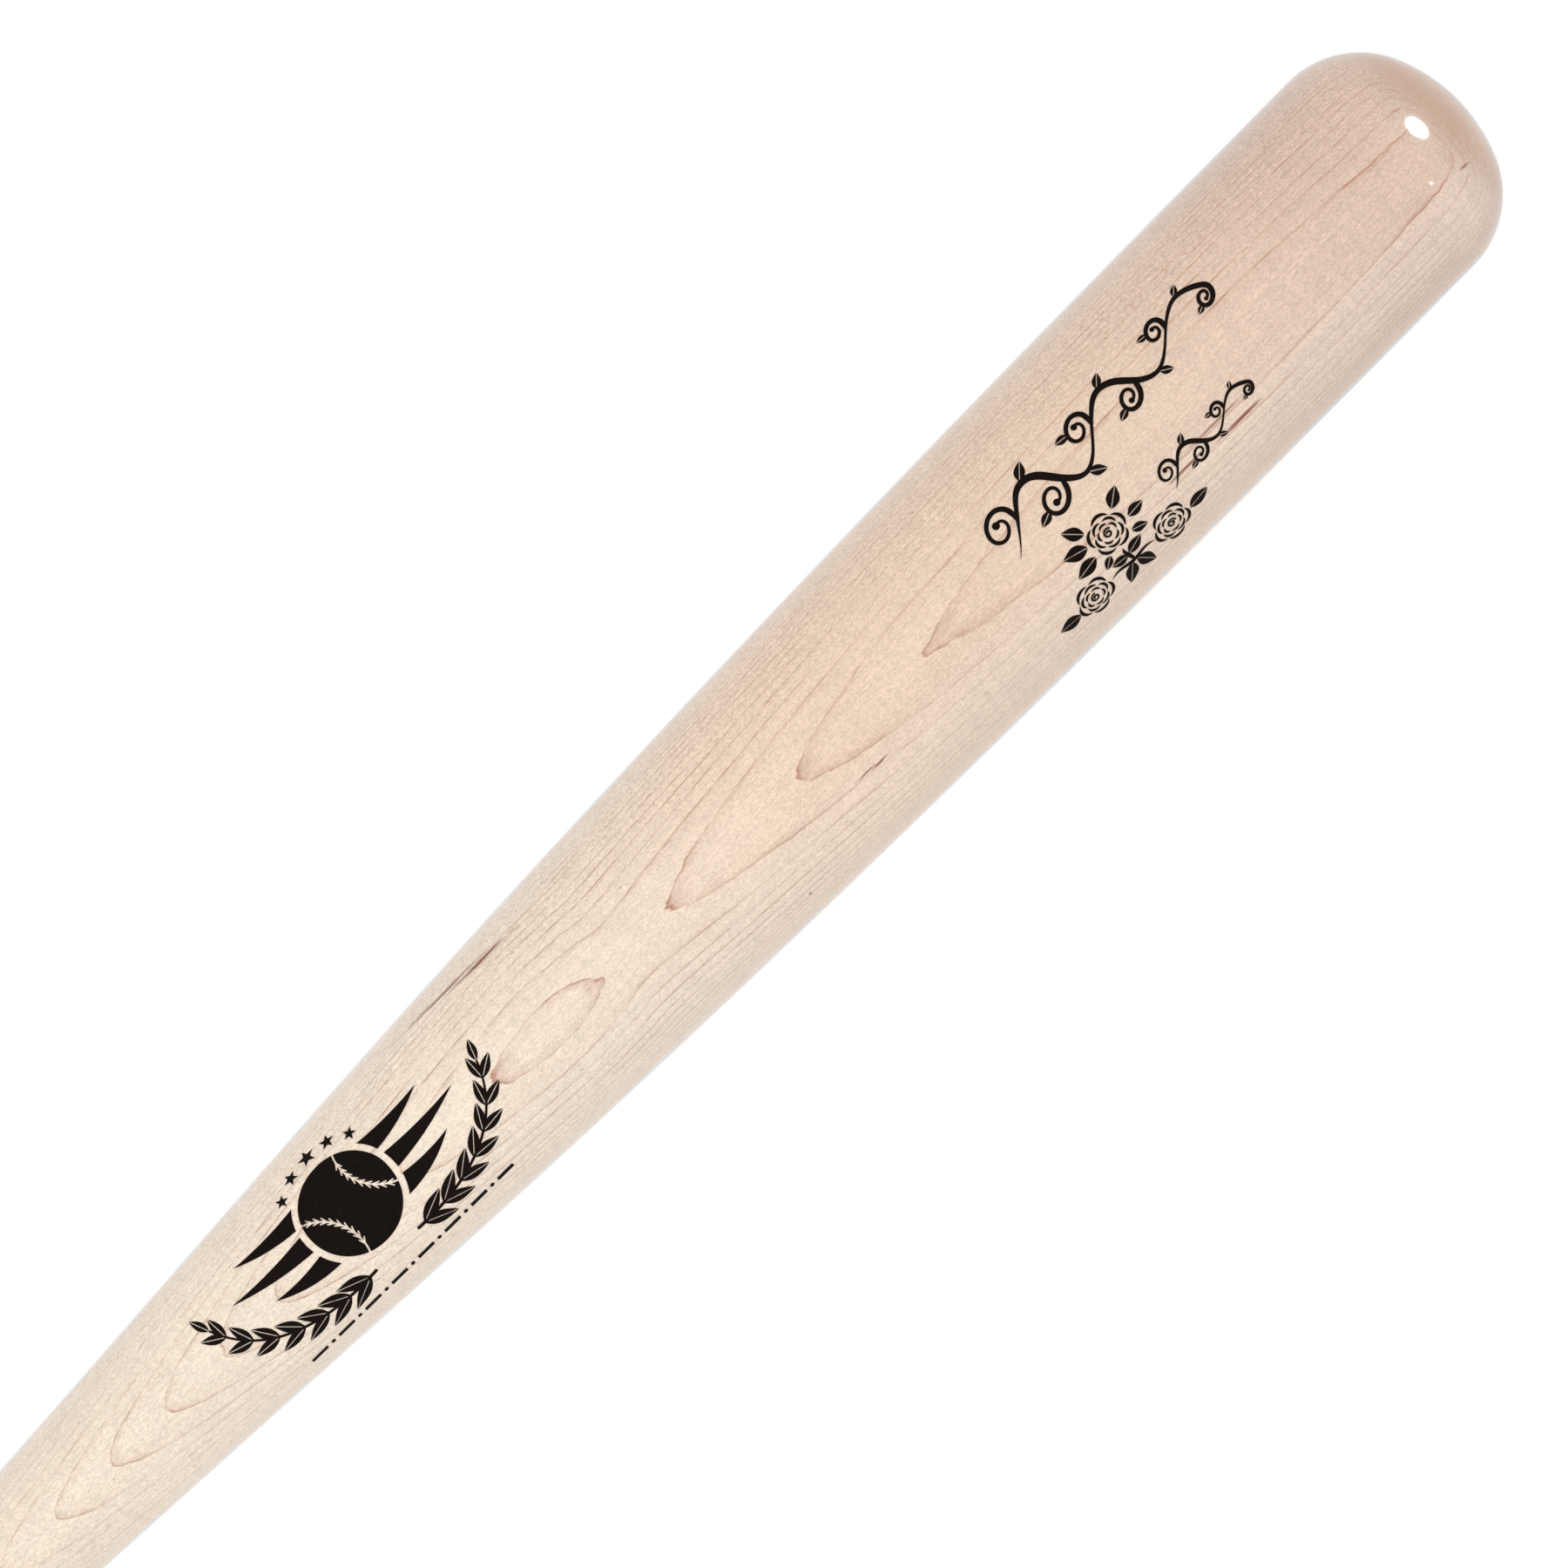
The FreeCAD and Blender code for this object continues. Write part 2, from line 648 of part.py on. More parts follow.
def make_emblem(document, sheet, film):
    centre = (sheet.emblem_height, sheet.ball_side)
    ball, seams = ball_shapes(sheet.ball_radius)
    stripes = stripe_shapes(sheet.ball_radius, sheet.emblem_reach)
    laurel = laurel_shapes(sheet.laurel_leaf, sheet.emblem_reach)
    stars = moved(star_shapes(sheet.ball_radius), *centre)
    dashes = moved(dash_shapes(sheet.emblem_reach), sheet.emblem_height, sheet.dash_row_side)
    stripes = moved(stripes + mirrored(stripes), *centre)
    return [
        make_mark(document, sheet, film, "emblem_ball", moved(ball, *centre), moved(seams, *centre)),
        make_mark(document, sheet, film, "emblem_stripes", stripes),
        make_mark(document, sheet, film, "laurel_upper", moved(laurel, sheet.emblem_height, 0)),
        make_mark(document, sheet, film, "laurel_lower",
                  moved(mirrored(laurel), sheet.emblem_height, 0)),
        make_mark(document, sheet, film, "emblem_stars", stars),
        make_mark(document, sheet, film, "dash_row", dashes),
    ]


# ---------------------------------------------------------------- the whole bat

def check_document(document, pieces):
    for item in document.Objects:
        if "Invalid" in item.State or "Error" in item.State:
            raise RuntimeError(f"{item.Name} did not recompute: {item.State}")
    for piece in pieces:
        if piece.Shape.isNull() or not piece.Shape.isValid() or piece.Shape.Volume <= 0:
            raise RuntimeError(f"{piece.Label} has no valid solid")


def main():
    document = FreeCAD.newDocument("baseball_bat")
    sheet = make_sheet(document)
    bat_body = make_bat_body(document, sheet)
    film = make_ink_film(document, sheet)
    document.recompute()
    pieces = [bat_body]
    pieces += make_scrolls(document, sheet, film)
    pieces += make_spray(document, sheet, film)
    pieces += make_emblem(document, sheet, film)
    document.recompute()
    check_document(document, pieces)
    os.makedirs("parts", exist_ok=True)
    for piece in pieces:
        piece.Shape.exportStep(os.path.join("parts", f"{piece.Label}.step"))
        print(f"{piece.Label}: {len(piece.Shape.Solids)} solids, {piece.Shape.Volume:.2f} mm3")


if __name__ == "__main__":
    main()
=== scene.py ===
import math

import bmesh
import bpy
import numpy as np
from mathutils import Matrix, Vector


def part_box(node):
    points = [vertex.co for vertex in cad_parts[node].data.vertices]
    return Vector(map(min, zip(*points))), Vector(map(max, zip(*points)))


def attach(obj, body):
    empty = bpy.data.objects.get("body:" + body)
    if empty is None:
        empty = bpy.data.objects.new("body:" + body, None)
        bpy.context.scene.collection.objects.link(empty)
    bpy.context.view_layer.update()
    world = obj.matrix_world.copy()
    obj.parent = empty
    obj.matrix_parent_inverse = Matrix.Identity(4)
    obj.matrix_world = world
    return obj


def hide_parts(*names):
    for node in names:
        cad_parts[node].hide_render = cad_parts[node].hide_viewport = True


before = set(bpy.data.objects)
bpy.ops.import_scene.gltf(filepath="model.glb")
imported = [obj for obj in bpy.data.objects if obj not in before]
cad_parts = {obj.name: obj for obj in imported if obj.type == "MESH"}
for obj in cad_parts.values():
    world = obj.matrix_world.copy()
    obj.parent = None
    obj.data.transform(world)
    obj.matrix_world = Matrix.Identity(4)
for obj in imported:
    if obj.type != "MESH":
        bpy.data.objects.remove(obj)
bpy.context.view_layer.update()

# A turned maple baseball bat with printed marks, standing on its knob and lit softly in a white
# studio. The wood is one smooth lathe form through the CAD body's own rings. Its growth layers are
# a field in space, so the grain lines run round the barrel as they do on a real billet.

MM = 0.001

# ---- camera ----------------------------------------------------------------------------------
LENS = 250.0            # mm, long enough to look nearly flat
SENSOR = 36.0           # mm
VIEW_WIDTH = 381 * MM   # what the frame is wide at the bat's axis
AIM_SIDE = 1.0 * MM
AIM_HEIGHT = 630.3 * MM
ROLL = math.radians(45.35)

# ---- body mesh -------------------------------------------------------------------------------
SEGMENTS = 192
OUTLINE_STEP = 0.9 * MM     # least gap between the outline points taken from the CAD body
RING_STEP = 2.0 * MM        # along the straight grip and barrel
ROUND_STEP = 0.6 * MM       # round the knob and the dome
KNOB_TOP = 45 * MM
DOME_FOOT = 835 * MM
# rings on the knob's flat end, as shares of its radius
KNOB_END_RINGS = (0, 0.35, 0.7, 0.9, 1)

# ---- floor -----------------------------------------------------------------------------------
FLOOR_SEGMENTS = 96
FLOOR_RADII = (0.3, 0.8, 1.4, 2.0, 2.6, 3.2)
FLOOR_DROP = 0.5 * MM       # keeps the floor just clear of the knob

# ---- growth layers, in mm --------------------------------------------------------------------
LAYER_RADIUS = 75.0         # how strongly the layers curve where the bat was cut
LAYER_SPACING = 1.2
FIRST_LAYER = 32.05         # depth at which the outermost boundary lies
# The pith is not straight behind the marks: it leans over more towards the top.
LEAN_HEIGHTS = (590.0, 850.0)
LEAN_SHARES = (0.045, 0.097)
# (height, how far the layers swell outwards there): the grain is never quite parallel to the axis
GRIP_FOOT = 60.0            # the swelling starts here
HANDLE_DRIFT = [(437, 3.5), (500, 3.4), (529, 2.95), (547, 2.50), (566, 1.35), (578, 0.60),
                (590, 0.50), (635, 0.44), (676, 0.68)]
DOME_DRIFT = [(700, 0.5), (748, 0.62), (790, 0.56), (820, 0.28), (838, 0.12), (842, 0.50),
              (845, 1.2), (849, 2.8), (851.6, 3.84), (856, 4.4), (864, 4.6)]
DRIFT_MOST = 5.0            # the top of both drift curves
# small waves that keep the layers from lying evenly: (mm across, mm along, shift, detail, size)
LAYER_WAVES = [
    (22.0, 170.0, 0.0, 1.0, 0.10),
    (5.0, 20.0, 7.0, 3.0, 0.12),
    (1.5, 4.5, 3.0, 2.0, 0.06),
]
# (height, share of full strength that the boundary lines have there)
LINE_STRENGTHS = [(430, 0.62), (540, 0.95), (590, 1.0), (640, 0.9), (676, 0.58), (730, 0.8),
                  (860, 1.0)]

# ---- colours, as 0-255 screen values ---------------------------------------------------------
# (height in mm, colour): the wood is creamy at the handle and pinker towards the dome; its lighter
# handle and darker dome are also a painted fall-off of light along the bat
WOOD_COLOURS_AND_LIGHT_FALLOFF = [(500, (250, 232, 211)), (571, (246, 226, 204)), (643, (240, 213, 188)),
                (757, (230, 203, 180)), (820, (219, 191, 171)), (864, (214, 186, 166))]
# the colour of a painted broad highlight down the bat's +x side, where the light falls
PAINTED_SIDE_LIGHT_COLOUR = (255, 240, 226)
DASH_COLOUR = (184, 140, 110)
LINE_COLOUR = (168, 100, 64)
END_GRAIN_COLOUR = (174, 136, 108)
STREAK_COLOUR = (138, 80, 50)
INK_COLOUR = (20, 13, 10)
THIN_INK_COLOUR = (74, 50, 38)

# soft changes of tone through the wood:
# (mm across, mm along, shift, detail, roughness, tone at the noise's low end, at its high end)
TONES = [
    (14.0, 60.0, 2.0, 2.0, 0.5, 0.985, 1.015),      # broad clouds
    (0.7, 30.0, 4.0, 3.0, 0.6, 1.03, 0.955),        # streaks along the grain
    (0.34, 18.0, 14.0, 2.0, 0.5, 1.02, 0.965),      # fine threads
    (8.0, 2.2, 8.0, 1.0, 0.5, 0.975, 1.025),        # a faint curl across the grain
]

# dark mineral streaks on the printed face: side, height, half width, half length in mm, strength
STREAKS = [
    (-22.0, 536.0, 0.46, 18.0, 0.85),
    (-21.1, 549.0, 0.56, 12.0, 1.00),
    (13.2, 646.0, 0.32, 4.2, 0.90),
    (13.7, 650.0, 0.36, 3.4, 1.00),
    (24.1, 616.0, 0.45, 0.5, 0.85),
    (13.6, 765.0, 0.40, 13.0, 0.80),
    (16.3, 752.5, 0.52, 7.5, 1.00),
    (17.4, 770.5, 0.55, 9.5, 1.00),
    (13.0, 851.2, 0.50, 1.6, 0.90),
]


def srgb(red, green, blue):
    """A colour given as 0-255 screen values, in linear light."""
    out = []
    for part in (red, green, blue):
        c = part / 255
        out.append(c / 12.92 if c <= 0.04045 else ((c + 0.055) / 1.055) ** 2.4)
    return (*out, 1.0)


# ---- node helpers ----------------------------------------------------------------------------
class Tree:
    """Short names for building the nodes of a material or a world."""

    def __init__(self, owner):
        owner.use_nodes = True
        self.owner = owner
        self.tree = owner.node_tree
        self.nodes = self.tree.nodes
        self.nodes.clear()

    def add(self, kind, **inputs):
        node = self.nodes.new(kind)
        for key, value in inputs.items():
            self.put(node.inputs[key.replace("_", " ")], value)
        return node

    def put(self, socket, value):
        """Links the socket to another node's output, or gives it a plain value."""
        if isinstance(value, bpy.types.NodeSocket):
            self.tree.links.new(value, socket)
        else:
            socket.default_value = value

    def math(self, operation, *values, clamp=False):
        node = self.nodes.new("ShaderNodeMath")
        node.operation = operation
        node.use_clamp = clamp
        for socket, value in zip(node.inputs, values):
            self.put(socket, value)
        return node.outputs[0]

    def total(self, *values):
        out = values[0]
        for value in values[1:]:
            out = self.math("ADD", out, value)
        return out

    def product(self, *values, clamp=False):
        """All the values multiplied; clamp keeps the result from 0 to 1."""
        out = values[0]
        for value in values[1:-1]:
            out = self.math("MULTIPLY", out, value)
        return self.math("MULTIPLY", out, values[-1], clamp=clamp)

    def distance(self, x, y):
        """How far (x, y) lies from the origin."""
        return self.math("SQRT", self.total(self.product(x, x), self.product(y, y)))

    def step(self, value, low, high, start=0.0, end=1.0, kind="SMOOTHSTEP"):
        """start below low, end above high, and a smooth turn between."""
        node = self.nodes.new("ShaderNodeMapRange")
        node.interpolation_type = kind
        for socket, number in zip(node.inputs[:5], (value, low, high, start, end)):
            self.put(socket, number)
        return node.outputs[0]

    def combine(self, x, y, z):
        return self.add("ShaderNodeCombineXYZ", X=x, Y=y, Z=z).outputs[0]

    def noise(self, vector, detail=2.0, roughness=0.5):
        """Noise about 1 unit across, from 0 to 1."""
        node = self.add("ShaderNodeTexNoise", Vector=vector, Scale=1.0, Detail=detail,
                        Roughness=roughness)
        return node.outputs["Fac"]

    def curve(self, value, points, most):
        """A smooth curve through (value, result) points; results are from 0 to most."""
        low, high = points[0][0], points[-1][0]
        share = self.step(value, low, high, kind="LINEAR")
        node = self.add("ShaderNodeFloatCurve", Value=share)
        line = node.mapping.curves[0]
        spots = [((at - low) / (high - low), result / most) for at, result in points]
        line.points[0].location = spots[0]
        line.points[-1].location = spots[-1]
        for spot in spots[1:-1]:
            line.points.new(*spot)
        node.mapping.update()
        return self.math("MULTIPLY", node.outputs[0], most)

    def mix(self, share, first, second):
        """first where share is 0, and second where it is 1."""
        node = self.nodes.new("ShaderNodeMix")
        node.data_type = "RGBA"
        for socket, value in zip((node.inputs[0], node.inputs[6], node.inputs[7]),
                                 (share, first, second)):
            self.put(socket, value)
        return node.outputs[2]

    def tint(self, share, colour, low, high):
        """The colour made darker or lighter: times low where share is 0, times high where it is 1."""
        amount = self.step(share, 0.0, 1.0, low, high, "LINEAR")
        node = self.add("ShaderNodeVectorMath", Vector=colour)
        node.operation = "SCALE"
        self.put(node.inputs["Scale"], amount)
        return node.outputs[0]

    def ramp(self, value, stops):
        """Colours blended evenly between (value, colour) stops."""
        low, high = stops[0][0], stops[-1][0]
        node = self.add("ShaderNodeValToRGB", Fac=self.step(value, low, high, kind="LINEAR"))
        elements = node.color_ramp.elements
        while len(elements) < len(stops):
            elements.new(0.5)
        for element, (at, colour) in zip(elements, stops):
            element.position = (at - low) / (high - low)
            element.color = srgb(*colour)
        return node.outputs["Color"]

    def finish(self, shader, output="ShaderNodeOutputMaterial"):
        self.add(output, Surface=shader)
        return self.owner


# ---- places and noise in the wood ------------------------------------------------------------
def place_mm(t):
    """The point on the bat, as x, y and z in millimetres."""
    spot = t.add("ShaderNodeTexCoord").outputs["Object"]
    split = t.add("ShaderNodeSeparateXYZ", Vector=spot)
    return [t.math("MULTIPLY", split.outputs[i], 1 / MM) for i in range(3)]


def stretched(t, x, y, z, across, along, shift=0.0):
    """A noise coordinate whose blobs are that many mm across and along the bat."""
    return t.combine(
        t.math("MULTIPLY_ADD", x, 1 / across, shift),
        t.math("MULTIPLY", y, 1 / across),
        t.math("MULTIPLY", z, 1 / along),
    )


def swing(t, noise, size):
    """Noise from 0 to 1 turned into a swing of that size either way."""
    return t.math("MULTIPLY", t.math("SUBTRACT", noise, 0.5), 2 * size)


# ---- maple -----------------------------------------------------------------------------------
def layer_depth(t, x, y, z):
    """Where the point lies among the growth layers, in mm from the billet's middle."""
    flat = t.math("MULTIPLY", y, -1.0)
    lean = t.product(x, t.step(z, *LEAN_HEIGHTS, *LEAN_SHARES, "LINEAR"))
    bow = t.product(x, x, 0.5 / LAYER_RADIUS)
    grip_top, grip_drift = HANDLE_DRIFT[0]
    rise = t.step(z, GRIP_FOOT, grip_top, 0.0, grip_drift)
    upper = t.math("SUBTRACT", t.curve(z, HANDLE_DRIFT, DRIFT_MOST), grip_drift)
    dome = t.curve(z, DOME_DRIFT, DRIFT_MOST)
    waves = []
    for across, along, shift, detail, size in LAYER_WAVES:
        noise = t.noise(stretched(t, x, y, z, across, along, shift), detail)
        waves.append(swing(t, noise, size))
    return t.total(flat, lean, bow, rise, upper, dome, *waves)


def layer_lines(t, depth, x, y, z):
    """How dark the boundary between two layers is here, as a thin line and a soft band inside it."""
    count = t.math("DIVIDE", t.math("SUBTRACT", depth, FIRST_LAYER), LAYER_SPACING)
    inside = t.math("MULTIPLY", t.math("FRACT", count), LAYER_SPACING)
    outside = t.math("SUBTRACT", LAYER_SPACING, inside)
    thin = t.math("MAXIMUM", t.step(inside, 0.0, 0.06, 0.86, 0.0),
                  t.step(outside, 0.0, 0.015, 0.86, 0.0))
    band = t.step(inside, 0.0, 0.24, 0.52, 0.0)
    late_wood = t.step(inside, 0.0, 0.8, 0.11, 0.0)
    line = t.total(thin, band, late_wood)

    # each boundary has a strength of its own, and all of them fade in and out on their way
    random = t.nodes.new("ShaderNodeTexWhiteNoise")
    random.noise_dimensions = "1D"
    t.put(random.inputs["W"], t.math("FLOOR", count))
    strength = t.step(random.outputs["Value"], 0.0, 1.0, 0.52, 0.88, "LINEAR")
    by_height = t.curve(z, LINE_STRENGTHS, 1.0)
    fade = t.step(t.noise(stretched(t, x, y, z, 3.0, 22.0, 11.0), 3.0), 0.35, 0.65, 0.36, 1.1)

    # on the -x side they break up as well
    broken = t.step(t.noise(stretched(t, x, y, z, 1.6, 9.0, 21.0), 2.0), 0.38, 0.62, 0.55, 1.35)
    broken_side = t.step(x, -6.0, -2.0, 1.0, 0.0)
    breaks = t.step(broken_side, 0.0, 1.0, 1.0, broken, "LINEAR")
    return t.product(line, strength, by_height, fade, breaks, clamp=True)


def streak_marks(t, x, y, z):
    """The short dark mineral streaks on the printed face."""
    rough = swing(t, t.noise(stretched(t, x, y, z, 0.8, 6.0, 5.0), 2.0), 0.5)
    marks = 0.0
    for side, height, half_width, half_length, strength in STREAKS:
        across = t.math("MULTIPLY", t.math("SUBTRACT", x, side), 1 / half_width)
        along = t.math("MULTIPLY", t.math("SUBTRACT", z, height), 1 / half_length)
        reach = t.math("ADD", t.distance(across, along), rough)
        marks = t.math("MAXIMUM", marks, t.step(reach, 0.25, 1.1, strength, 0.0))
    printed_face = t.step(y, -2.0, 0.0, 1.0, 0.0)
    return t.product(marks, printed_face)


def end_grain(t, x, y, z):
    """How strongly the open end grain darkens the dome and the knob's end, in soft mottles."""
    normal = t.add("ShaderNodeTexCoord").outputs["Normal"]
    facing = t.math("ABSOLUTE", t.add("ShaderNodeSeparateXYZ", Vector=normal).outputs[2])
    rim = t.product(t.step(facing, 0.50, 0.78), t.step(facing, 0.84, 0.99, 1.0, 0.55))
    spot = [t.math("MULTIPLY", place, 1 / size) for place, size in ((x, 2.2), (y, 0.8), (z, 1.2))]
    mottle = t.noise(t.combine(*spot), 3.0, 0.6)
    return t.product(rim, t.step(mottle, 0.3, 0.7, 0.35, 0.85))


def painted_side_light(t, x, y):
    """How strongly a painted broad highlight lightens the wood, in a soft band down the bat's +x
    side.
    """
    side = t.math("DIVIDE", x, t.distance(x, y))
    return t.product(t.step(side, 0.22, 0.58, 0.0, 0.30), t.step(side, 0.74, 0.95, 1.0, 0.0))


def add_flecks(t, colour, x, y, z):
    """The colour with its short flecks and dashes, which are stronger on the bat's -x side."""
    mottled_side = t.step(x, -27.0, -9.0, 1.0, 0.0)
    fleck = t.step(t.noise(stretched(t, x, y, z, 0.42, 0.95, 9.0), 2.0, 0.7), 0.32, 0.68)
    colour = t.mix(mottled_side, t.tint(fleck, colour, 0.86, 1.10),
                   t.tint(fleck, colour, 0.78, 1.15))
    dashes = t.noise(stretched(t, x, y, z, 0.35, 2.0, 1.0), 1.0)
    dash_most = t.step(mottled_side, 0.0, 1.0, 0.40, 0.80)
    return t.mix(t.step(dashes, 0.64, 0.76, 0.0, dash_most), colour, srgb(*DASH_COLOUR))


def make_maple():
    """Clear-lacquered maple: its tones and flecks first, then the growth lines and darker marks."""
    t = Tree(bpy.data.materials.new("maple"))
    x, y, z = place_mm(t)
    # the wood's tone along the bat, with a painted fall-off of light: lighter towards the handle,
    # darker towards the dome
    colour = t.ramp(z, WOOD_COLOURS_AND_LIGHT_FALLOFF)
    # painted highlight: the +x side is lightened in a soft band, as if lit from that side
    colour = t.mix(painted_side_light(t, x, y), colour, srgb(*PAINTED_SIDE_LIGHT_COLOUR))
    for across, along, shift, detail, roughness, low, high in TONES:
        tone = t.noise(stretched(t, x, y, z, across, along, shift), detail, roughness)
        colour = t.tint(t.step(tone, 0.3, 0.7), colour, low, high)
    colour = add_flecks(t, colour, x, y, z)
    # the wood darkens up the dome, towards its tip
    colour = t.tint(t.step(z, 838.0, 863.0), colour, 1.0, 0.58)
    lines = layer_lines(t, layer_depth(t, x, y, z), x, y, z)
    colour = t.mix(lines, colour, srgb(*LINE_COLOUR))
    colour = t.mix(end_grain(t, x, y, z), colour, srgb(*END_GRAIN_COLOUR))
    colour = t.mix(streak_marks(t, x, y, z), colour, srgb(*STREAK_COLOUR))

    fibre = t.noise(stretched(t, x, y, z, 0.35, 9.0, 6.0), 2.0, 0.6)
    bump = t.add("ShaderNodeBump", Strength=0.25, Distance=0.03 * MM, Height=fibre)
    shader = t.add("ShaderNodeBsdfPrincipled", Base_Color=colour, Roughness=0.5,
                   Normal=bump.outputs[0])
    shader.inputs["Specular IOR Level"].default_value = 0.4
    shader.inputs["Coat Weight"].default_value = 1.0
    shader.inputs["Coat Roughness"].default_value = 0.085
    return t.finish(shader.outputs[0])


def make_ink():
    """Matt black-brown ink, a little thin over the open grain."""
    t = Tree(bpy.data.materials.new("ink"))
    x, y, z = place_mm(t)
    pores = t.noise(stretched(t, x, y, z, 0.3, 1.4, 12.0), 3.0, 0.65)
    thin = t.step(pores, 0.60, 0.74, 0.0, 0.5)
    colour = t.mix(thin, srgb(*INK_COLOUR), srgb(*THIN_INK_COLOUR))
    roughness = t.step(pores, 0.3, 0.7, 0.45, 0.65)
    bump = t.add("ShaderNodeBump", Strength=0.4, Distance=0.03 * MM, Height=pores)
    shader = t.add("ShaderNodeBsdfPrincipled", Base_Color=colour, Roughness=roughness,
                   Normal=bump.outputs[0])
    shader.inputs["Specular IOR Level"].default_value = 0.06
    return t.finish(shader.outputs[0])


# ---- meshes ----------------------------------------------------------------------------------
def add_ring(mesh, radius, height, count):
    """A ring of that many vertices round the z axis."""
    ring = []
    for k in range(count):
        turn = 2 * math.pi * k / count
        ring.append(mesh.verts.new((radius * math.cos(turn), radius * math.sin(turn), height)))
    return ring


def join_rings(mesh, first, second):
    """A band of faces between two rings; it faces outwards if the second ring is the higher one."""
    for k in range(len(first)):
        after = (k + 1) % len(first)
        mesh.faces.new((first[k], first[after], second[after], second[k]))


def add_object(name, mesh):
    """A new object in the scene, made from a finished bmesh."""
    data = bpy.data.meshes.new(name)
    mesh.to_mesh(data)
    mesh.free()
    piece = bpy.data.objects.new(name, data)
    bpy.context.scene.collection.objects.link(piece)
    return piece


def cad_outline(node):
    """The CAD body's outline as (radius, height) points from the knob's end to the top."""
    points = np.array([v.co for v in node.data.vertices], float)
    radius = np.hypot(points[:, 0], points[:, 1])
    order = np.lexsort((radius, points[:, 2]))
    radius, height = radius[order], points[order, 2]
    outline = [(share * radius[0], 0.0) for share in KNOB_END_RINGS]
    for r, h in zip(radius, height):
        last_r, last_h = outline[-1]
        if math.hypot(r - last_r, h - last_h) > OUTLINE_STEP:
            outline.append((r, h))
    if outline[-1][0] > 0.01 * MM:
        outline.append((0.0, height[-1]))
    return np.array(outline)


def smooth_line(points):
    """Points on a smooth curve through the given ones, closer together at the rounded ends."""
    gaps = np.hypot(*np.diff(points, axis=0).T)
    at = np.concatenate([[0], np.cumsum(gaps)])
    slopes = np.diff(points, axis=0) / gaps[:, None]
    before, after = gaps[:-1, None], gaps[1:, None]
    tangents = np.empty_like(points)
    tangents[1:-1] = (slopes[:-1] * after + slopes[1:] * before) / (before + after)
    tangents[0], tangents[-1] = slopes[0], slopes[-1]
    knob_end = np.interp(KNOB_TOP, points[:, 1], at)
    dome_start = np.interp(DOME_FOOT, points[:, 1], at)
    where = np.concatenate([
        np.arange(0, knob_end, ROUND_STEP),
        np.arange(knob_end, dome_start, RING_STEP),
        np.linspace(dome_start, at[-1], int((at[-1] - dome_start) / ROUND_STEP)),
    ])
    i = np.clip(np.searchsorted(at, where, side="right") - 1, 0, len(gaps) - 1)
    u = ((where - at[i]) / gaps[i])[:, None]
    h = gaps[i][:, None]
    return (
        points[i] * (2 * u**3 - 3 * u**2 + 1)
        + points[i + 1] * (3 * u**2 - 2 * u**3)
        + tangents[i] * h * (u**3 - 2 * u**2 + u)
        + tangents[i + 1] * h * (u**3 - u**2)
    )


def make_body(node):
    """The whole turned bat as one smooth, closed lathe mesh that stays in the CAD body's box."""
    outline = smooth_line(cad_outline(node))
    low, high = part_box("bat_body")
    outline[:, 0] = np.clip(outline[:, 0], 0, high.x)
    outline[:, 1] = np.clip(outline[:, 1], low.z, high.z)
    mesh = bmesh.new()
    rings = [add_ring(mesh, radius, height, SEGMENTS) for radius, height in outline[1:-1]]
    bottom = mesh.verts.new((0, 0, low.z))
    top = mesh.verts.new((0, 0, high.z))
    for k in range(SEGMENTS):
        after = (k + 1) % SEGMENTS
        mesh.faces.new((bottom, rings[0][after], rings[0][k]))
        mesh.faces.new((top, rings[-1][k], rings[-1][after]))
    for lower, upper in zip(rings, rings[1:]):
        join_rings(mesh, lower, upper)
    for face in mesh.faces:
        face.smooth = True
    body = add_object("turned_body", mesh)
    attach(body, "root")
    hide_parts("bat_body")
    return body


def paint(piece, material):
    piece.data.materials.clear()
    piece.data.materials.append(material)


# ---- studio ----------------------------------------------------------------------------------
def make_camera():
    """A long lens straight in front of the printed face, rolled so that the bat lies diagonally."""
    data = bpy.data.cameras.new("camera")
    data.lens = LENS
    data.sensor_width = SENSOR
    data.clip_start = 0.1
    data.clip_end = 50
    camera = bpy.data.objects.new("camera", data)
    bpy.context.scene.collection.objects.link(camera)
    distance = VIEW_WIDTH * LENS / SENSOR
    right = Vector((math.sin(ROLL), 0, math.cos(ROLL)))
    up = Vector((-math.cos(ROLL), 0, math.sin(ROLL)))
    back = Vector((0, -1, 0))
    turn = Matrix((right, up, back)).transposed().to_4x4()
    camera.matrix_world = Matrix.Translation((AIM_SIDE, -distance, AIM_HEIGHT)) @ turn
    bpy.context.scene.camera = camera


def make_world(front, backdrop):
    """White all round for the camera, with a bright backdrop behind the bat to light its edges."""
    t = Tree(bpy.data.worlds.new("studio"))
    direction = t.add("ShaderNodeTexCoord").outputs["Generated"]
    behind = t.add("ShaderNodeSeparateXYZ", Vector=direction).outputs["Y"]
    light = t.step(behind, 0.0, 0.5, front, backdrop)
    seen = t.add("ShaderNodeLightPath").outputs["Is Camera Ray"]
    background = t.add("ShaderNodeBackground", Color=(1, 1, 1, 1),
                       Strength=t.step(seen, 0.0, 1.0, light, 1.0))
    bpy.context.scene.world = t.finish(background.outputs[0], "ShaderNodeOutputWorld")


def make_light(name, place, aim, size, watts, shape="RECTANGLE"):
    data = bpy.data.lights.new(name, "AREA")
    data.shape = shape
    data.size, data.size_y = size
    data.energy = watts
    lamp = bpy.data.objects.new(name, data)
    bpy.context.scene.collection.objects.link(lamp)
    lamp.location = place
    lamp.rotation_mode = "QUATERNION"
    lamp.rotation_quaternion = (Vector(aim) - Vector(place)).to_track_quat("-Z", "Y")


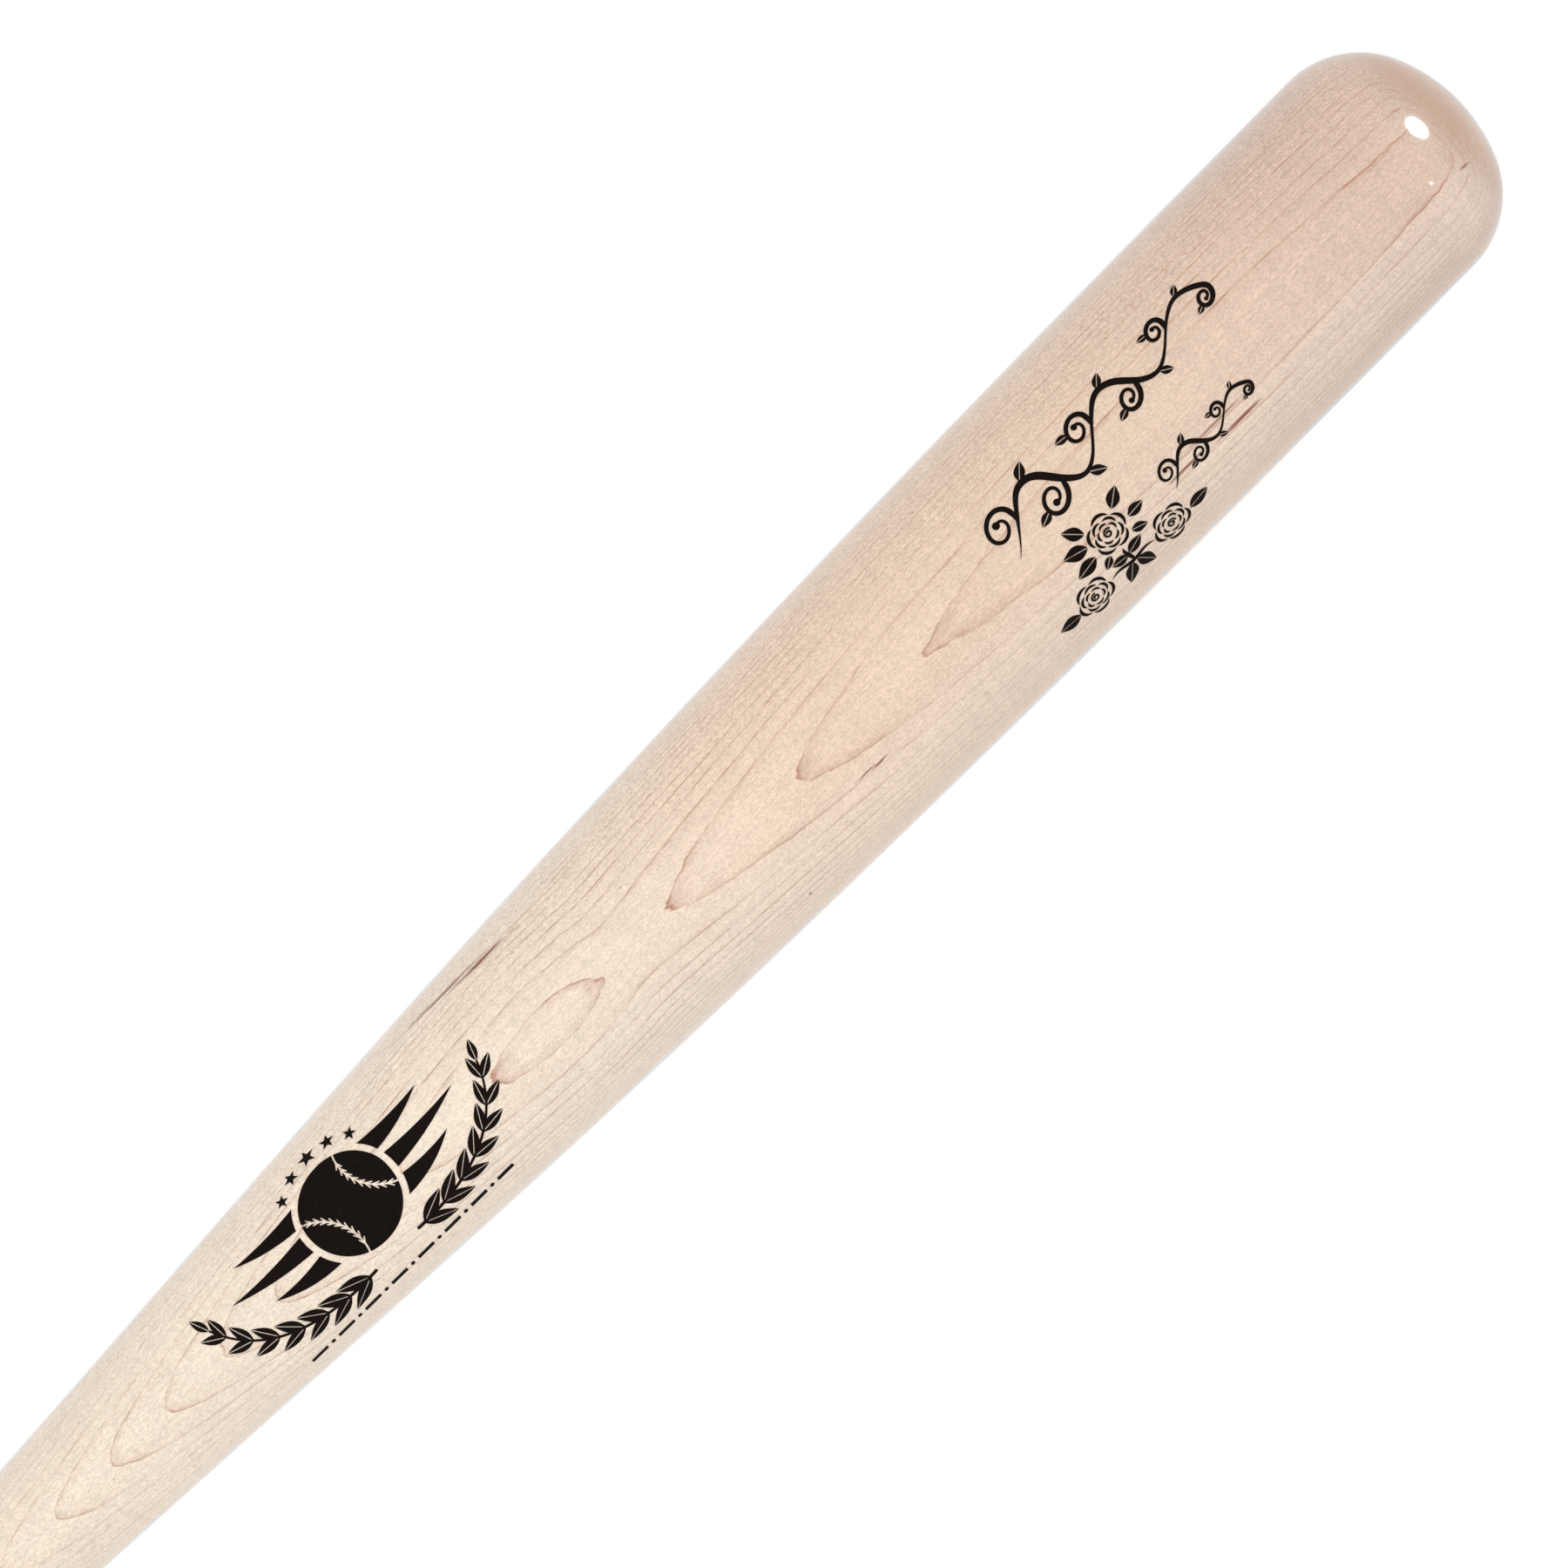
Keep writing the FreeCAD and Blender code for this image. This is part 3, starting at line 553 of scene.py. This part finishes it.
def make_floor_paper():
    """Pale matt paper that turns into a white glow towards the floor's rim."""
    t = Tree(bpy.data.materials.new("floor_paper"))
    spot = t.add("ShaderNodeTexCoord").outputs["Object"]
    split = t.add("ShaderNodeSeparateXYZ", Vector=spot)
    x, y = split.outputs[0], split.outputs[1]
    paper = t.noise(t.combine(t.math("MULTIPLY", x, 300.0), t.math("MULTIPLY", y, 300.0), 0.0), 3.0)
    colour = t.mix(t.step(paper, 0.3, 0.7), (0.83, 0.83, 0.82, 1), (0.87, 0.87, 0.86, 1))
    matt = t.add("ShaderNodeBsdfPrincipled", Base_Color=colour, Roughness=0.9)
    glow = t.add("ShaderNodeEmission", Strength=1.0)
    blend = t.nodes.new("ShaderNodeMixShader")
    t.put(blend.inputs[0], t.step(t.distance(x, y), 1.3, 3.0))
    t.put(blend.inputs[1], matt.outputs[0])
    t.put(blend.inputs[2], glow.outputs[0])
    return t.finish(blend.outputs[0])


def make_floor():
    """A pale round floor whose rim melts into the white all round it."""
    mesh = bmesh.new()
    rings = [add_ring(mesh, radius, 0, FLOOR_SEGMENTS) for radius in FLOOR_RADII]
    mesh.faces.new(rings[0])
    for inner, outer in zip(rings, rings[1:]):
        join_rings(mesh, outer, inner)
    floor = add_object("floor", mesh)
    floor.location.z = -FLOOR_DROP
    paint(floor, make_floor_paper())


# ---- put it together -------------------------------------------------------------------------
bpy.context.scene.view_settings.view_transform = "Standard"
make_camera()
make_world(front=0.70, backdrop=0.90)
make_light("key", (0.5, -2.6, 0.9), aim=(0, 0, 0.66), size=(2.4, 2.4), watts=4.2)
make_light("fill", (-0.05, -0.6, 0.35), aim=(0, 0, 0.5), size=(0.5, 0.5), watts=0.35)
make_light("tip_softbox", (-0.11, -0.60, 1.98), aim=(0, 0, 0.86), size=(0.46, 0.50), watts=9,
           shape="ELLIPSE")
make_light("small_lamp", (0.60, -0.72, 1.27), aim=(0, 0, 0.86), size=(0.06, 0.04), watts=0.2,
           shape="ELLIPSE")
make_floor()

body = make_body(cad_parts["bat_body"])
paint(body, make_maple())
ink = make_ink()
for name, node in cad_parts.items():
    if name != "bat_body":
        paint(node, ink)
